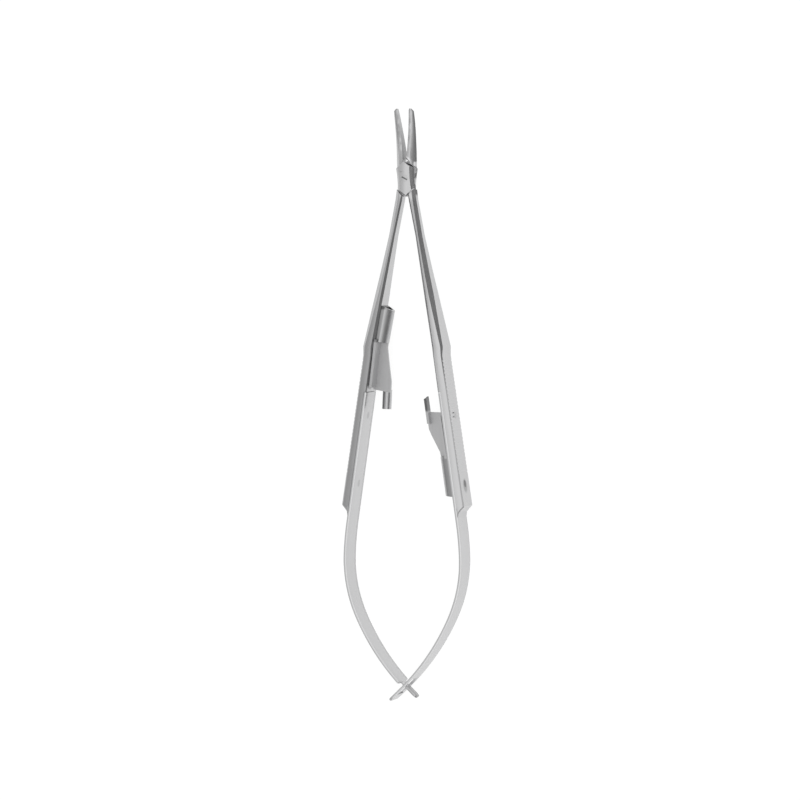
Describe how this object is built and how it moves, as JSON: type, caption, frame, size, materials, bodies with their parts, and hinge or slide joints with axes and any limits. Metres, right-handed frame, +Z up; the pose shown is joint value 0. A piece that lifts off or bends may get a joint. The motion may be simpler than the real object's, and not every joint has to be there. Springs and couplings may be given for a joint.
{
  "type": "surgical needle holder",
  "caption": "Spring-leaf surgical needle holder with lightly curved slim jaws, a lap joint, flared grooved grips, facing hooked catches and leaf springs whose tails interlock.",
  "frame": {"origin": "middle of the outline seen from above, on the table that the instrument lies on", "axes": "+Y from the handle towards the jaw tips, +Z up out of the opening plane, +X to the right seen from above"},
  "size_m": [0.03, 0.1399, 0.0082],
  "materials": {
    "satin_steel": "satin",
    "leaf_steel": "satin",
    "catch_steel": "satin",
    "pin_steel": "satin"
  },
  "bodies": {
    "frame_half": {"upper_half": "satin_steel", "pivot_screw": "pin_steel", "right_leaf_spring": "leaf_steel", "right_leaf_rivet_front": "pin_steel", "right_leaf_rivet_rear": "pin_steel", "fixed_catch": "catch_steel"},
    "moving_half": {"lower_half": "satin_steel", "left_leaf_spring": "leaf_steel", "left_leaf_rivet_front": "pin_steel", "left_leaf_rivet_rear": "pin_steel", "spring_catch_rivet": "pin_steel"},
    "catch_plate": {"spring_catch": "catch_steel"}
  },
  "joints": [
    {"name": "pivot", "type": "hinge", "parent": "frame_half", "child": "moving_half", "pos_m": [0, 0.0533, 0.0041], "axis": [0, 0, 1], "range_deg": [0, 9.5], "stiffness_Nm_per_rad": 1, "deforming": ["left_leaf_spring", "right_leaf_spring"]},
    {"name": "catch_flex", "type": "hinge", "parent": "moving_half", "child": "catch_plate", "pos_m": [-0.00597, 0.02056, 0.0041], "axis": [0.9832, -0.1824, 0], "range_deg": [-3, 3], "stiffness_Nm_per_rad": 0.05}
  ]
}
